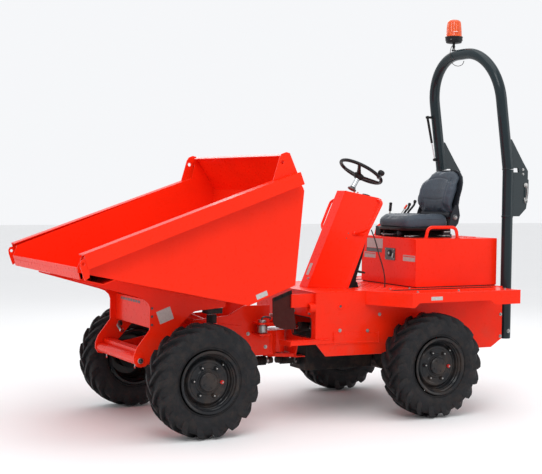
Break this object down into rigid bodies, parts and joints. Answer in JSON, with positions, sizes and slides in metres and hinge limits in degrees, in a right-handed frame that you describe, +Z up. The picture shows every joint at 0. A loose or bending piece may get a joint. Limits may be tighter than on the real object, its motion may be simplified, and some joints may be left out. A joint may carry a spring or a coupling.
{
  "type": "site dumper",
  "caption": "Compact articulated site dumper with a front-tipping open skip, open operator's seat and folding roll-over hoop.",
  "frame": {"origin": "middle of the bounding box in plan, on the ground under the tyres", "axes": "+X forward towards the skip's pouring lip, +Y the operator's left, +Z up"},
  "size_m": [3.735, 1.588, 2.9934],
  "materials": {
    "red_paint": "gloss",
    "black_paint": "satin",
    "slate_paint": "semi-gloss",
    "tyre_rubber": "matte",
    "rubber": "matte",
    "steel": "satin",
    "seat_vinyl": "matte",
    "black_plastic": "matte",
    "amber_lens": "gloss",
    "engine_paint": "satin"
  },
  "bodies": {
    "rear_body": {"rear_chassis": "red_paint", "fender_left": "red_paint", "fender_right": "red_paint", "centre_pin": "steel", "rear_axle": "black_paint", "engine_block": "engine_paint", "gearbox": "engine_paint", "rear_shaft": "steel", "console": "red_paint", "steering_column": "steel", "grab_handle_left": "red_paint", "grab_handle_right": "red_paint", "pedal": "black_plastic", "rops_leg_left": "slate_paint", "rops_leg_right": "slate_paint", "splash_flap": "rubber", "step": "red_paint"},
    "front_body": {"front_frame": "red_paint", "front_axle": "black_paint", "front_shaft": "steel"},
    "wheel_front_left": {"tyre_front_left": "tyre_rubber", "rim_front_left": "black_paint"},
    "wheel_front_right": {"tyre_front_right": "tyre_rubber", "rim_front_right": "black_paint"},
    "wheel_rear_left": {"tyre_rear_left": "tyre_rubber", "rim_rear_left": "black_paint"},
    "wheel_rear_right": {"tyre_rear_right": "tyre_rubber", "rim_rear_right": "black_paint"},
    "skip": {"skip_tub": "red_paint", "skip_underframe": "red_paint", "skip_buffer_left": "rubber", "skip_buffer_right": "rubber"},
    "tip_barrel": {"tip_ram_barrel": "red_paint"},
    "tip_rod": {"tip_ram_rod": "steel"},
    "steer_barrel": {"steer_ram_barrel": "black_paint"},
    "steer_rod": {"steer_ram_rod": "steel"},
    "cover": {"engine_cover": "red_paint", "seat_base": "black_paint", "seat_cushion": "seat_vinyl", "seat_back": "seat_vinyl", "cover_rail_left": "red_paint", "cover_rail_right": "red_paint", "lever_stand": "black_plastic"},
    "hoop": {"rops_hoop": "slate_paint", "beacon_base": "black_plastic", "beacon_lens": "amber_lens"},
    "steering": {"steering_wheel": "black_plastic"}
  },
  "joints": [
    {"name": "centre_steer", "type": "hinge", "parent": "rear_body", "child": "front_body", "pos_m": [0.0975, 0, 0.55], "axis": [0, 0, 1], "range_deg": [-33, 33]},
    {"name": "wheel_front_left_spin", "type": "hinge", "parent": "front_body", "child": "wheel_front_left", "pos_m": [0.9755, 0.653, 0.376], "axis": [0, 1, 0], "continuous": true},
    {"name": "wheel_front_right_spin", "type": "hinge", "parent": "front_body", "child": "wheel_front_right", "pos_m": [0.9755, -0.653, 0.376], "axis": [0, 1, 0], "continuous": true},
    {"name": "wheel_rear_left_spin", "type": "hinge", "parent": "rear_body", "child": "wheel_rear_left", "pos_m": [-0.8325, 0.653, 0.376], "axis": [0, 1, 0], "continuous": true},
    {"name": "wheel_rear_right_spin", "type": "hinge", "parent": "rear_body", "child": "wheel_rear_right", "pos_m": [-0.8325, -0.653, 0.376], "axis": [0, 1, 0], "continuous": true},
    {"name": "skip_tip", "type": "hinge", "parent": "front_body", "child": "skip", "pos_m": [1.3125, 0, 0.487], "axis": [0, 1, 0], "range_deg": [0, 75]},
    {"name": "tip_barrel_swing", "type": "hinge", "parent": "front_body", "child": "tip_barrel", "pos_m": [0.3875, 0, 0.545], "axis": [0, 1, 0], "range_deg": [-1, 8]},
    {"name": "tip_rod_slide", "type": "slide", "parent": "tip_barrel", "child": "tip_rod", "axis": [0.9308, 0, 0.3657], "range_m": [-0.005, 0.495]},
    {"name": "steer_barrel_swing", "type": "hinge", "parent": "rear_body", "child": "steer_barrel", "pos_m": [-0.3225, 0.24, 0.64], "axis": [0, 0, 1], "range_deg": [-13, 13]},
    {"name": "steer_rod_slide", "type": "slide", "parent": "steer_barrel", "child": "steer_rod", "axis": [1, 0, 0], "range_m": [-0.145, 0.145]},
    {"name": "cover_tilt", "type": "hinge", "parent": "rear_body", "child": "cover", "pos_m": [-1.6305, 0, 0.905], "axis": [0, -1, 0], "range_deg": [0, 50]},
    {"name": "rops_fold", "type": "hinge", "parent": "rear_body", "child": "hoop", "pos_m": [-1.8325, 0, 1.68], "axis": [0, -1, 0], "range_deg": [0, 110]},
    {"name": "steering_wheel_turn", "type": "hinge", "parent": "rear_body", "child": "steering", "pos_m": [-0.6215, 0, 1.767], "axis": [-0.506, 0, 0.8625], "continuous": true}
  ],
  "couplings": [
    {"joint": "tip_barrel_swing", "follows": "skip_tip", "ratio": 0.0891},
    {"joint": "tip_rod_slide", "follows": "skip_tip", "m_per_rad": 0.3737},
    {"joint": "steer_barrel_swing", "follows": "centre_steer", "ratio": 0.3524},
    {"joint": "steer_rod_slide", "follows": "centre_steer", "m_per_rad": -0.2375}
  ]
}
